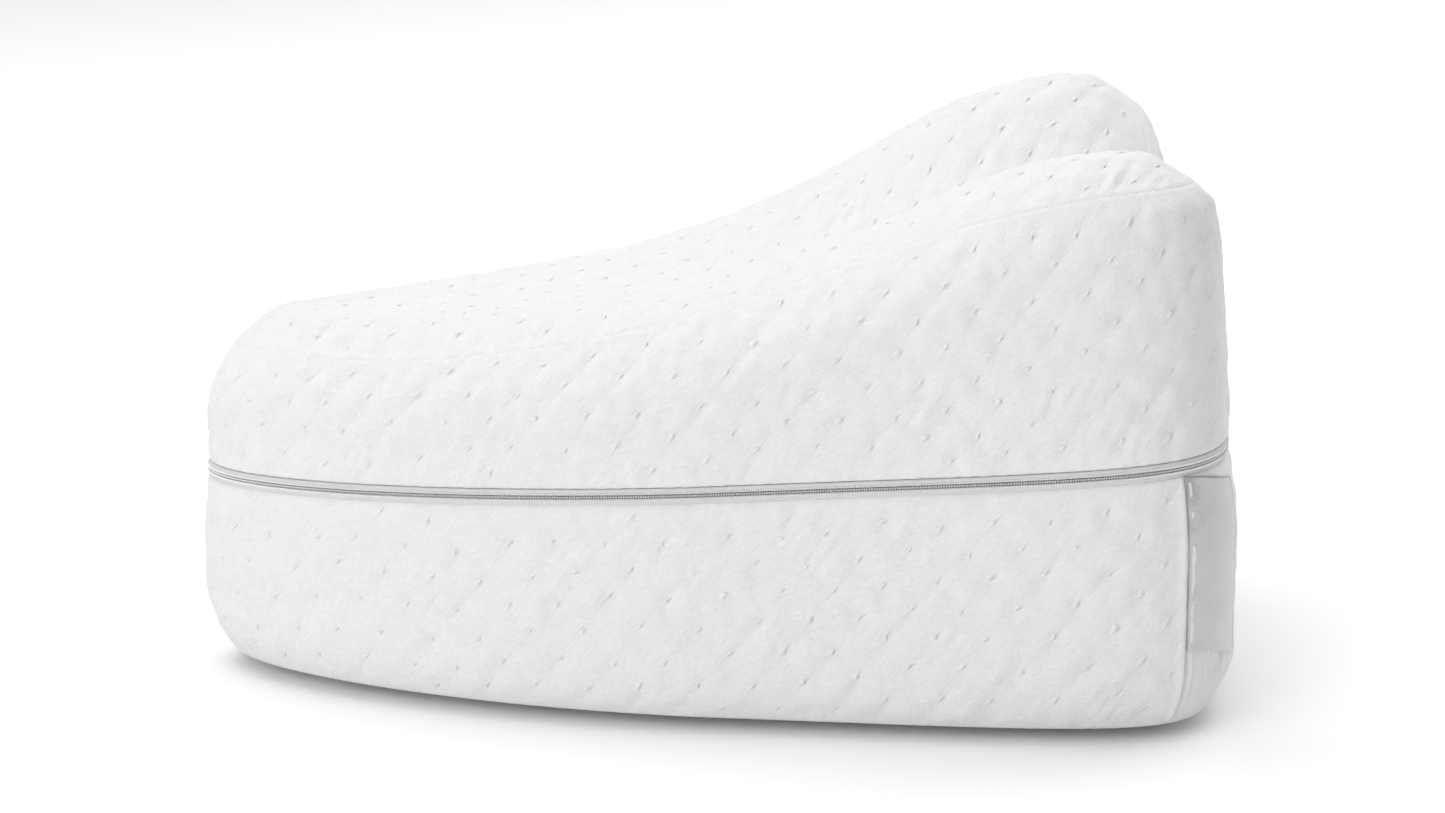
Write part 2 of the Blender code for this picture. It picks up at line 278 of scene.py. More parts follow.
# The materials: metres of cloth in one unit of its map, and lengths in mm
UV_SCALE = 0.1
SWAY_LENGTH = 8.0
UNEVEN_LENGTH = 1.3
UNEVEN_SWAY = 1.1
GRAIN_SIZE = 0.6
GRAIN_BUMP = 0.03

# The pillow's middle, from the middle of its outline
MIDDLE = np.array([(SWELL_LOW - SWELL_HIGH) / 2, 0, 0])

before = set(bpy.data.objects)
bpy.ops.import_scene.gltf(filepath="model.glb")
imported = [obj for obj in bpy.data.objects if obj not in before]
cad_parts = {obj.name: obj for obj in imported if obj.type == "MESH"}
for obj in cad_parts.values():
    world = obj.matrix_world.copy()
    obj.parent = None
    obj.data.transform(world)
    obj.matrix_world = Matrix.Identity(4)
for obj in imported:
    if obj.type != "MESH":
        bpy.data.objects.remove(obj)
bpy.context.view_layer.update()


def section(name, station):
    """A column of SECTIONS at any stations, on a smooth curve through the rows."""
    table = np.array(SECTIONS)
    places = table[:, SECTION_COLUMNS.index("station")]
    values = table[:, SECTION_COLUMNS.index(name)]
    slopes = np.gradient(values, places)
    station = np.clip(station, places[0], places[-1])
    row = np.clip(np.searchsorted(places, station) - 1, 0, len(places) - 2)
    span = places[row + 1] - places[row]
    t = (station - places[row]) / span
    start = values[row] * (1 + 2 * t) * (1 - t) ** 2 + slopes[row] * span * t * (1 - t) ** 2
    end = values[row + 1] * (3 - 2 * t) * t**2 - slopes[row + 1] * span * t**2 * (1 - t)
    return start + end


def between(low, high, station):
    """A size that goes evenly from its value at the low end to its value at the high end."""
    return low + (high - low) * (station + 1) / 2


def smooth(value, low, high):
    """0 below low and 1 above high, with an even turn between."""
    q = np.clip((value - low) / (high - low), 0, 1)
    return q * q * (3 - 2 * q)


def stacked(*parts):
    """Numbers side by side along a new last axis."""
    return np.stack(np.broadcast_arrays(*parts), axis=-1)


def turned(s, t, turn):
    """Places along and across a direction at this turn."""
    return s * np.cos(turn) + t * np.sin(turn), t * np.cos(turn) - s * np.sin(turn)


def half_width(station):
    return HALF_WIDTH_MIDDLE + HALF_WIDTH_TAPER * station + HALF_WIDTH_ENDS * station**2


def evened(values, reach):
    """The mean of each value and its neighbours round the outline, weighted towards the middle."""
    weights = np.hanning(2 * reach + 3)[1:-1]
    wrapped = np.concatenate([values[-reach:], values, values[:reach]])
    return np.convolve(wrapped, weights / weights.sum(), "valid")


def dense_outline():
    """The outline at even steps from the low tip along the near side, its pulls outward and its length."""
    turn = np.linspace(-np.pi, np.pi, 4 * STEPS_DENSE, endpoint=False)
    c = np.cos(turn)
    s = np.sin(turn)
    power = np.where(c < 0, 2 / LOW_END_POWER, 2 / HIGH_END_POWER)
    x = HALF_LENGTH * np.sign(c) * np.abs(c) ** power
    y = half_width(x / HALF_LENGTH) * np.sign(s) * np.abs(s) ** power
    x = np.append(x, x[0])
    y = np.append(y, y[0])
    run = np.concatenate([[0], np.cumsum(np.hypot(np.diff(x), np.diff(y)))])
    even = np.linspace(0, run[-1], STEPS_DENSE, endpoint=False)
    x, y = np.interp(even, run, x), np.interp(even, run, y)
    along_x = np.roll(x, -1) - np.roll(x, 1)
    along_y = np.roll(y, -1) - np.roll(y, 1)
    size = np.hypot(along_x, along_y)
    found = [x, y]
    for evening in (PULL_EVENING, DEEP_PULL_EVENING):
        reach = int(round(evening / (run[-1] / STEPS_DENSE)))
        pull_x = evened(along_y / size, reach)
        pull_y = evened(-along_x / size, reach)
        pull = np.hypot(pull_x, pull_y)
        found += [pull_x / pull, pull_y / pull]
    return found, run[-1]


class Edge:
    """The outline read at any distances round it, with the sizes that belong to each place."""

    dense, length = dense_outline()

    def __init__(self, distance):
        steps = np.arange(STEPS_DENSE) * self.length / STEPS_DENSE
        self.x, self.y, self.out_x, self.out_y, self.deep_x, self.deep_y = (
            np.interp(distance, steps, values, period=self.length) for values in self.dense
        )
        self.station = self.x / HALF_LENGTH
        self.endness = self.out_x**2
        self.waist = WAIST_HEIGHT + WAIST_RISE * self.station
        self.swell = between(SWELL_LOW, SWELL_HIGH, self.station)
        high = smooth(self.station, BOTTOM_ROLL_CHANGE, 1)
        low = smooth(-self.station, BOTTOM_ROLL_CHANGE, 1) * np.abs(self.out_x)
        self.bottom_roll = BOTTOM_ROLL + (BOTTOM_ROLL_HIGH - BOTTOM_ROLL) * high
        self.bottom_roll += (BOTTOM_ROLL_LOW_TIP - BOTTOM_ROLL) * low
        self.roll_in = self.changed(section("roll_mm", self.station) * MM, END_ROLL_LOW, END_ROLL_HIGH)
        self.roll_down = self.roll_in * self.changed(1, END_ROLL_SQUASH_LOW, END_ROLL_SQUASH_HIGH)
        self.roll_power = self.changed(1, END_ROLL_POWER_LOW, 1)
        self.lean = self.changed(LEAN_SIDES, LEAN_LOW_END, LEAN_HIGH_END)
        self.seam_turn = np.radians(section("seam_turn_deg", self.station))

    def changed(self, sides, low_end, high_end):
        """A size that has one value along the sides and others at the two ends."""
        return sides + (between(low_end, high_end, self.station) - sides) * self.endness

    def inward(self, inset):
        """The plan place this far in from the outline, along a more even course the deeper it lies."""
        near = PULL_CHANGE * (1 - np.exp(-inset / PULL_CHANGE))
        deep = inset - near
        x = self.x - self.out_x * near - self.deep_x * deep
        y = self.y - self.out_y * near - self.deep_y * deep
        return x, y

    def place(self, inset, height):
        """Points this far in from the outline, at this height."""
        x, y = self.inward(inset)
        return stacked(x, y, height)


def top_height(x, y):
    """The height of the top over any place, before the edge rolls take it down."""
    station = np.clip(x / HALF_LENGTH, -1, 1)
    crest = section("crest_mm", station) * MM
    depth = CHANNEL_SHALLOW + (CHANNEL_DEEP - CHANNEL_SHALLOW) * smooth(station, CHANNEL_START, CHANNEL_FULL)
    lobe = between(LOBE_PLACE_LOW, LOBE_PLACE_HIGH, station) * half_width(station)
    channel = 0.5 + 0.5 * np.cos(np.pi * np.clip(np.abs(y) / lobe, 0, 1))
    far = section("far_lobe_extra_mm", station) * MM
    return crest - depth * channel + far * (0.5 + 0.5 * np.tanh(y / LOBE_BLEND))


def roll_place(edge, turn):
    """The top roll, from the wall at no turn to the crest at a quarter turn."""
    x, y = edge.inward(edge.lean + edge.roll_in * (1 - np.clip(np.cos(turn), 0, 1) ** edge.roll_power))
    z = top_height(x, y) - edge.roll_down * (1 - np.clip(np.sin(turn), 0, 1) ** edge.roll_power)
    return stacked(x, y, z)


def bottom_roll_inset(edge, turn):
    """How far in the bottom roll has come from the outline at this turn."""
    return edge.bottom_roll * (1 - np.cos(turn)) - edge.swell * np.cos(turn)


def bottom_roll_place(edge, turn):
    """The bottom roll, from the wall at no turn to the bottom seam and on round the same curve."""
    above_seam = edge.bottom_roll * (np.sin(BOTTOM_TURN) - np.sin(turn))
    return edge.place(bottom_roll_inset(edge, turn), BOTTOM_SEAM_HEIGHT + above_seam)


def shoulder(edge, below_seam):
    """How the filling pushes the high end out round its top seam, by the distance below the seam."""
    share = smooth(edge.station, SHOULDER_START, SHOULDER_FULL)
    push = SHOULDER * share * np.exp(-(((below_seam - SHOULDER_PLACE) / SHOULDER_REACH) ** 2))
    return stacked(edge.out_x * push, edge.out_y * push, 0.0)


def choose(test, place, other):
    """Each point's place where it meets the test, or else its other place."""
    return np.where(test[..., None], place, other)


def upper_wall(edge):
    """The upper band's straight part: its foot, its top and its height."""
    foot = edge.place(0, edge.waist + GROOVE_HALF_HEIGHT + LIP_REACH)
    top = roll_place(edge, 0)
    return foot, top, top[..., 2] - foot[..., 2]


def upper_band_height(distance):
    """The upper band's cloth from the fold at the zip to the top seam."""
    edge = Edge(distance)
    return LIP_RUN + upper_wall(edge)[2] + edge.roll_in * edge.seam_turn


def upper_band_place(distance, up):
    """The upper band at any height up its cloth from the fold at the zip; below 0 it is tucked in."""
    edge = Edge(distance)
    foot, top, wall = upper_wall(edge)
    lip = edge.waist + GROOVE_HALF_HEIGHT
    turn = np.clip(up / LIP_RUN, 0, 1) * np.pi / 2
    inset = LIP_INSET * (1 - np.sin(turn)) + np.clip(-up, 0, TUCK)
    back = np.clip(-up - TUCK, 0, None)
    fold = edge.place(inset, lip + LIP_REACH * (1 - np.cos(turn)) - back)
    straight = foot + (top - foot) * np.clip((up - LIP_RUN) / wall, 0, 1)[..., None]
    rolled = roll_place(edge, np.clip((up - LIP_RUN - wall) / edge.roll_in, 0, None))
    below_seam = LIP_RUN + wall + edge.roll_in * edge.seam_turn - up
    above_fold = choose(up < LIP_RUN + wall, straight, rolled)
    return choose(up < LIP_RUN, fold, above_fold) + shoulder(edge, below_seam)


def lower_wall_height(edge):
    """The height of the lower band's straight part."""
    rolled = BOTTOM_SEAM_HEIGHT + edge.bottom_roll * np.sin(BOTTOM_TURN)
    return edge.waist - GROOVE_HALF_HEIGHT - LIP_REACH - rolled


def lower_band_height(distance):
    """The lower band's cloth from the fold at the zip to the bottom seam."""
    edge = Edge(distance)
    return LIP_RUN + lower_wall_height(edge) + edge.bottom_roll * BOTTOM_TURN


def lower_band_place(distance, down):
    """The lower band at any distance down its cloth from the fold at the zip."""
    edge = Edge(distance)
    wall = lower_wall_height(edge)
    lip = edge.waist - GROOVE_HALF_HEIGHT
    turn = np.clip(down / LIP_RUN, 0, 1) * np.pi / 2
    drop = LIP_REACH * (1 - np.cos(turn)) + np.clip(down - LIP_RUN, 0, wall)
    swell = edge.swell * np.sin(np.pi / 2 * np.clip(drop / LIP_SWELL_REACH, 0, 1))
    inset = LIP_INSET * (1 - np.sin(turn)) - np.clip(down, None, 0) - swell
    straight = edge.place(inset, lip - drop)
    rolled = bottom_roll_place(edge, np.clip((down - LIP_RUN - wall) / edge.bottom_roll, 0, None))
    return choose(down < LIP_RUN + wall, straight, rolled)


def top_rim_width(distance):
    """How far the top panel's seam lies beyond the rim where the roll starts."""
    edge = Edge(distance)
    return edge.roll_in * (np.pi / 2 - edge.seam_turn)


def top_rim_place(distance, beyond):
    """The top panel near its seam, at any distance beyond the rim; below 0 it is on the open top."""
    edge = Edge(distance)
    rolled = roll_place(edge, np.pi / 2 - np.clip(beyond, 0, None) / edge.roll_in)
    x, y = edge.inward(edge.lean + edge.roll_in - beyond)
    level = top_field_place(x, y)
    below_seam = beyond - edge.roll_in * (np.pi / 2 - edge.seam_turn)
    return choose(beyond < 0, level, rolled) + shoulder(edge, below_seam)


def top_field_place(x, y):
    return stacked(x, y, top_height(x, y))


def bottom_rim_width(distance):
    """How far the bottom panel's seam lies beyond the rim where it rests."""
    return BOTTOM_REST_REACH + 0 * distance


def bottom_rim_place(distance, beyond):
    """The bottom panel from where it rests, at 0 beyond, out and up to its seam."""
    edge = Edge(distance)
    from_seam = BOTTOM_REST_REACH - beyond
    height = BOTTOM_SEAM_HEIGHT * (1 - smooth(from_seam, 0, BOTTOM_REST_REACH))
    return edge.place(bottom_roll_inset(edge, BOTTOM_TURN) + from_seam, height)


def bottom_field_place(x, y):
    return stacked(x, y, 0.0)


def facing(place, a, b):
    """The unit normals of a surface that is given by a place for any a and b."""
    along = place(a + NORMAL_STEP, b) - place(a - NORMAL_STEP, b)
    across = place(a, b + NORMAL_STEP) - place(a, b - NORMAL_STEP)
    normal = np.cross(along, across)
    return normal / np.linalg.norm(normal, axis=-1, keepdims=True)


def waves(s, t, length, seed, stretch=1.0, turn=0.0):
    """Smooth random relief of this wavelength, about 1 high, stretched along a turned direction."""
    draw = np.random.default_rng(seed)
    along, across = turned(s, t, np.radians(turn))
    along = along / stretch
    total = 0 * s
    for _ in range(WAVE_COUNT):
        way = draw.uniform(0, 2 * np.pi)
        beat = 2 * np.pi * draw.uniform(*WAVE_BEATS) / length
        total += np.cos(beat * (along * np.cos(way) + across * np.sin(way)) + draw.uniform(0, 2 * np.pi))
    return total / np.sqrt(WAVE_COUNT / 2)


def drift(s, t, seed):
    """How far the quilting has been pulled out of its even lattice."""
    return [TICK_DRIFT * waves(s, t, TICK_DRIFT_LENGTH, seed + part) for part in (1, 2)]


def valleys(s, t, tilt, seed):
    """Soft valleys along the slanted lines of ticks, deep in one direction and faint in the other."""
    drift_s, drift_t = drift(s, t, seed)
    s, t = turned(s - drift_s, t - drift_t, np.radians(tilt))
    total = 0 * s
    for way, depth, part in ((1, VALLEY_DEPTH, 5), (-1, CROSS_VALLEY_DEPTH, 6)):
        line = s / TICK_PITCH - way * t / (2 * TICK_ROW)
        off = np.abs(line - np.round(line)) * TICK_PITCH
        strength = VALLEY_STRENGTH + VALLEY_UNEVENNESS * waves(s, t, VALLEY_CHANGE, seed + part)
        total -= depth * np.clip(strength, 0, None) * np.exp(-((off / VALLEY_HALF_WIDTH) ** 2))
    return total


def lattice(reach, tilt, seed):
    """Tick places in a slightly uneven diamond lattice out to this reach: s, t, size and turn of each."""
    draw = np.random.default_rng(seed)
    rows = int(reach / TICK_ROW) + 1
    columns = int(reach / TICK_PITCH) + 1
    column, row = np.meshgrid(np.arange(-columns, columns + 1), np.arange(-rows, rows + 1))
    s = ((column + 0.5 * (row % 2)) * TICK_PITCH).ravel()
    s, t = turned(s, (row * TICK_ROW).ravel(), -np.radians(tilt))
    drift_s, drift_t = drift(s, t, seed)
    s = s + drift_s + draw.normal(0, TICK_JITTER, s.size)
    t = t + drift_t + draw.normal(0, TICK_JITTER, s.size)
    size = draw.normal(1, TICK_SIZE_SPREAD, s.size)
    size += TICK_SIZE_DRIFT * waves(s, t, TICK_DRIFT_LENGTH, seed + 3)
    turn = np.radians(TICK_TURN) + draw.normal(0, TICK_TURN_SPREAD, s.size)
    return stacked(s, t, np.clip(size, *TICK_SIZES_KEPT), turn)


class Cloth:
    """The points of one stretch of cloth, sorted so that those near a tick are found quickly."""

    def __init__(self, s, t):
        self.s = s.ravel()
        self.t = t.ravel()
        self.order = np.argsort(self.s)
        self.sorted = self.s[self.order]

    def near(self, tick, reach):
        """The points within reach of a tick, and how far each lies from it along and across the cloth."""
        low, high = np.searchsorted(self.sorted, [tick[0] - reach, tick[0] + reach])
        found = self.order[low:high]
        found = found[np.abs(self.t[found] - tick[1]) < reach]
        return found, self.s[found] - tick[0], self.t[found] - tick[1]


def gathered(s, t, ticks, free):
    """The moves that make the mesh finest at the ticks; free is 0 where a point has to stay."""
    cloth = Cloth(s, t)
    move = np.zeros((2, s.size))
    for tick in ticks:
        found, ds, dt = cloth.near(tick, TICK_GATHER_REACH)
        draw_in = (TICK_GATHER - 1) * (1 - smooth(np.hypot(ds, dt), 0, TICK_GATHER_REACH))
        move[0, found] += ds * draw_in
        move[1, found] += dt * draw_in
    return move.reshape(2, *s.shape) * free


def ticked(s, t, ticks):
    """The ticks' soft relief in metres."""
    cloth = Cloth(s, t)
    relief = np.zeros(s.size)
    for tick in ticks:
        found, ds, dt = cloth.near(tick, TICK_REACH)
        for more, place, half_length, half_width, height in TICK_FORMS:
            along, across = turned(ds / MM, dt / MM, tick[3] + np.radians(more))
            form = np.exp(-((along / half_length) ** 2) - ((across - place) / half_width) ** 2)
            relief[found] += tick[2] * height * MM * form
    return relief.reshape(s.shape)


def tick_marks(corners, ticks):
    """Each face corner's place along and across the slit of the tick beside it, in millimetres."""
    middles = corners.mean(axis=1)
    cloth = Cloth(middles[:, 0], middles[:, 1])
    marks = np.full(corners.shape, float(NO_TICK))
    for tick in ticks:
        found = cloth.near(tick, TICK_MARK_REACH)[0]
        laid = turned(corners[found, :, 0] - tick[0], corners[found, :, 1] - tick[1], tick[3])
        marks[found] = stacked(*laid) / MM / np.sqrt(tick[2])
    return marks


def sewn_edge(gap, depth, reach):
    """The roll of an edge into a seam, with a slight swell beside it, by the distance from the seam."""
    share = 1 - np.clip(gap / reach, 0, 1)
    sunk = 1 - np.sqrt(1 - SEAM_ROUNDNESS * share**2)
    swell = np.exp(-((gap / reach - SEAM_SWELL_PLACE) ** 2)) * (1 - share)
    return depth * (SEAM_SWELL * swell - sunk)


def relief(s, t, gap, along_seam, ticks, tilt, seed):
    """How far the cloth stands off its smooth form; gap is the distance from a seam."""
    free = smooth(gap, 0, SEAM_CALM)
    lumps = LUMP_HEIGHT * waves(s, t, LUMP_LENGTH, seed)
    lumps += DIMPLE_HEIGHT * waves(s, t, DIMPLE_LENGTH, seed + 1)
    where = smooth(waves(s, t, PULL_PATCH, seed + 2), *PULL_PATCH_EDGE)
    pulls = PULL_HEIGHT * where * waves(s, t, PULL_LENGTH, seed + 3, stretch=PULL_STRETCH, turn=PULL_TURN)
    gathers = waves(along_seam, gap, GATHER_LENGTH, seed + 4, stretch=GATHER_STRETCH, turn=GATHER_TURN)
    gathers = GATHER_HEIGHT * gathers * smooth(gap, 0, GATHER_START) * np.exp(-gap / GATHER_REACH)
    soft = lumps + pulls + valleys(s, t, tilt, seed) + ticked(s, t, ticks)
    return soft * free + gathers + sewn_edge(gap, SEAM_DEPTH, SEAM_REACH)


def numbered(rows, columns, first=0):
    """A grid of point numbers."""
    return first + np.arange(rows * columns).reshape(rows, columns)


def closed(grid):
    """A grid with its first row once more at its end."""
    return np.concatenate([grid, grid[:1]])


def grid_faces(index, side):
    """The quads between neighbours of a grid of point numbers; side turns them over."""
    quads = stacked(index[:-1, :-1], index[1:, :-1], index[1:, 1:], index[:-1, 1:]).reshape(-1, 4)
    return quads if side > 0 else quads[:, ::-1]


def added(name, data, made_of):
    """Puts a mesh into the scene as a piece of the pillow."""
    data.shade_smooth()
    data.materials.append(made_of)
    made = bpy.data.objects.new(name, data)
    bpy.context.scene.collection.objects.link(made)
    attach(made, "root")
    return made


def mesh_object(name, points, faces, cloth, made_of, ticks=None):
    """A piece of the pillow, with each face corner's cloth coordinates, and its ticks if it is quilted."""
    data = bpy.data.meshes.new(name)
    data.vertices.add(len(points))
    data.vertices.foreach_set("co", (points + MIDDLE).astype(np.float32).ravel())
    data.loops.add(faces.size)
    data.loops.foreach_set("vertex_index", faces.ravel().astype(np.int32))
    data.polygons.add(len(faces))
    sides = faces.shape[1]
    data.polygons.foreach_set("loop_start", np.arange(0, faces.size, sides, dtype=np.int32))
    data.update(calc_edges=True)
    layer = data.uv_layers.new(name="cloth")
    layer.uv.foreach_set("vector", np.asarray(cloth / UV_SCALE, dtype=np.float32).ravel())
    if ticks is not None:
        layer = data.uv_layers.new(name="tick")
        layer.uv.foreach_set("vector", tick_marks(cloth, ticks).astype(np.float32).ravel())
    data.validate()
    made = added(name, data, made_of)
    return made


def rows_between(low, high, count):
    """Rows from low to high in each column, with a few close to each end for the seams there."""
    low = np.broadcast_to(low, np.shape(high))[:, None]
    high = np.asarray(high)[:, None]
    inner = np.linspace(0, 1, count)[1:-1]
    middle = low + EDGE_ROWS[-1] + (high - low - 2 * EDGE_ROWS[-1]) * inner
    return np.concatenate([low + EDGE_ROWS, middle, high - EDGE_ROWS[::-1]], axis=1)


def band(name, place, height, lowest, rows, join, side, tilt, seed, extra=None, sizes=None):
    """A side band from its tuck in the zip's groove to its far seam, joined end to end at one column."""
    step = Edge.length / COLUMNS
    s = np.arange(COLUMNS) * step
    tall = height(s + join * step)
    tuck = lowest + 0 * s[:, None]
    t = np.concatenate([tuck, rows_between(0, tall, rows)], axis=1)
    s = s[:, None] + 0 * t
    tall = tall[:, None]
    half_round = np.array([Edge.length / 2, 0, 0, 0])
    ticks = lattice(BAND_LATTICE * Edge.length, tilt, seed) + half_round
    inside = np.minimum(ticks[:, 0], Edge.length - ticks[:, 0]) > TICK_MARGIN
    up = side * ticks[:, 1]
    inside &= (up > TICK_MARGIN) & (up < height(ticks[:, 0] + join * step) - TICK_MARGIN)
    ticks = ticks[inside]
    if sizes is not None:
        ticks[:, 2] *= sizes(ticks[:, 0] + join * step, side * ticks[:, 1])
        ticks = ticks[ticks[:, 2] > 0]
    to_join = np.minimum(s, Edge.length - s)
    free = smooth(np.minimum(np.minimum(t, tall - t), to_join), 0, TICK_GATHER_MARGIN)
    ds, dt = gathered(s, side * t, ticks, free)
    s, t = s + ds, t + side * dt
    to_join = np.minimum(s, Edge.length - s)
    to_seam = tall - t
    gap = np.minimum(to_join + SEAM_REACH, to_seam)
    along_seam = np.where(to_join < to_seam, t, s)
    stands = relief(s - half_round[0], side * t, gap, along_seam, ticks - half_round, tilt, seed)
    hold = smooth(t, ZIP_CALM_START, ZIP_CALM_END)
    ripple = waves(s, t, ZIP_RIPPLE_LENGTH, seed + 9, stretch=ZIP_RIPPLE_STRETCH, turn=90)
    ripple *= smooth(t, ZIP_CALM_START, ZIP_RIPPLE_FULL)
    stands = stands * hold + ZIP_RIPPLE * ripple * np.exp(-np.clip(t, 0, None) / ZIP_RIPPLE_REACH)
    distance = s + join * step
    stands += sewn_edge(to_join, JOIN_DEPTH, JOIN_REACH) * hold * smooth(to_seam, 0, JOIN_FADE)
    if extra is not None:
        stands += extra(distance, t)
    points = place(distance, t) + side * facing(place, distance, t) * stands[..., None]
    faces = grid_faces(closed(numbered(*t.shape)), side)
    laid = stacked(np.concatenate([s, s[:1] + Edge.length]), side * closed(t))
    corners = grid_faces(numbered(*laid.shape[:2]), side)
    laid = laid.reshape(-1, 2)[corners]
    return mesh_object(name, points.reshape(-1, 3), faces, laid, PLUSH, ticks)


def laid_out():
    """How far along the cloth of the top each place along the pillow lies."""
    x = np.linspace(-HALF_LENGTH, HALF_LENGTH, LAY_STEPS)
    rise = np.diff(section("crest_mm", x / HALF_LENGTH)) * MM
    along = np.concatenate([[0], np.cumsum(np.hypot(np.diff(x), rise))])
    return x, along - np.interp(0, x, along)


def field_index(first):
    """Point numbers over the open middle of a panel, whose outer points are the rim's own."""
    across = (COLUMNS - 2 * FIELD_COLUMNS) // 2
    index = np.zeros((FIELD_COLUMNS + 1, across + 1), dtype=int)
    index[1:-1, 1:-1] = numbered(FIELD_COLUMNS - 1, across - 1, first)
    start = across // 2
    index[:, 0] = start + np.arange(FIELD_COLUMNS + 1)
    index[-1, :] = start + FIELD_COLUMNS + np.arange(across + 1)
    index[:, -1] = (start + FIELD_COLUMNS + across + np.arange(FIELD_COLUMNS + 1)[::-1]) % COLUMNS
    index[0, :] = (start + 2 * FIELD_COLUMNS + across + np.arange(across + 1)[::-1]) % COLUMNS
    return index


def field_plan(x, y, index):
    """Plan places over the middle of a panel, blended from the rim round it."""
    plan = []
    for rim in (x, y):
        near, far = rim[index[:, 0]], rim[index[:, -1]]
        low, high = rim[index[0, :]], rim[index[-1, :]]
        a = np.linspace(0, 1, index.shape[0])[:, None]
        b = np.linspace(0, 1, index.shape[1])[None, :]
        sides = near[:, None] * (1 - b) + far[:, None] * b + low[None, :] * (1 - a) + high[None, :] * a
        corners = (near[0] * (1 - a) + near[-1] * a) * (1 - b) + (far[0] * (1 - a) + far[-1] * a) * b
        places = sides - corners
        for _ in range(FIELD_EASINGS):
            around = places[:-2, 1:-1] + places[2:, 1:-1] + places[1:-1, :-2] + places[1:-1, 2:]
            places[1:-1, 1:-1] = around / 4
        plan.append(places)
    return plan


def panel(name, rim_place, rim_width, field_place, lay, side, tilt, seed, lift=None):
    """The top or bottom panel: a rim rolled into the seam and an open field, as one mesh."""
    distance = np.arange(COLUMNS) * (Edge.length / COLUMNS)
    wide = rim_width(distance)[:, None]
    inner = np.linspace(0, 1, RIM_ROWS)[:-1] * (wide - EDGE_ROWS[-1])
    beyond = np.concatenate([inner, wide - EDGE_ROWS[::-1]], axis=1)
    rim = rim_place(distance, 0 * distance)
    distance = distance[:, None] + 0 * beyond
    edge = Edge(distance)
    rim_s = lay(rim[:, 0])[:, None] + edge.out_x * beyond
    rim_t = rim[:, 1][:, None] + edge.out_y * beyond
    index = field_index(beyond.size)
    rim_index = numbered(*beyond.shape)
    x, y = field_plan(rim[:, 0], rim[:, 1], np.where(index < COLUMNS, index, 0))
    x, y = x[1:-1, 1:-1], y[1:-1, 1:-1]
    seam = stacked(rim_s[:, -1], rim_t[:, -1])
    out = stacked(edge.out_x[:, 0], edge.out_y[:, 0])
    ticks = lattice(PANEL_LATTICE * HALF_LENGTH, tilt, seed)
    away = ticks[:, None, :2] - seam[None]
    nearest = np.argmin((away**2).sum(axis=2), axis=1)
    inward = -(away[np.arange(len(ticks)), nearest] * out[nearest]).sum(axis=1)
    ticks = ticks[inward > TICK_MARGIN]
    free = smooth(np.minimum(wide - beyond, beyond), 0, TICK_GATHER_MARGIN)
    ds, dt = gathered(rim_s, rim_t, ticks, free)
    rim_s, rim_t = rim_s + ds, rim_t + dt
    distance = distance - ds * edge.out_y + dt * edge.out_x
    beyond = beyond + ds * edge.out_x + dt * edge.out_y
    gap = wide - beyond
    stands = relief(rim_s, rim_t, gap, distance, ticks, tilt, seed)
    rim_points = rim_place(distance, beyond) - side * facing(rim_place, distance, beyond) * stands[..., None]
    s, t = lay(x), y
    rows_in, columns_in = (np.minimum(np.arange(count), np.arange(count)[::-1]) for count in s.shape)
    free = smooth(np.minimum(rows_in[:, None], columns_in[None, :]), 0, FIELD_EDGE_CELLS)
    ds, dt = gathered(s, t, ticks, free)
    s, t = s + ds, t + dt
    x = x + ds * 2 * MM / (lay(x + MM) - lay(x - MM))
    y = t
    stands = relief(s, t, 0 * s + HALF_LENGTH, s, ticks, tilt, seed)
    points = field_place(x, y) + side * facing(field_place, x, y) * stands[..., None]
    points = np.concatenate([rim_points.reshape(-1, 3), points.reshape(-1, 3)])
    if lift is not None:
        points[:, 2] = np.maximum(points[:, 2], lift)
    laid = np.concatenate([stacked(rim_s, rim_t).reshape(-1, 2), stacked(s, t).reshape(-1, 2)])
    index = np.where(index < COLUMNS, rim_index[index % COLUMNS, 0], index)
    faces = np.concatenate([grid_faces(closed(rim_index), -side), grid_faces(index, side)])
    return mesh_object(name, points, faces, laid[faces], PLUSH, ticks)


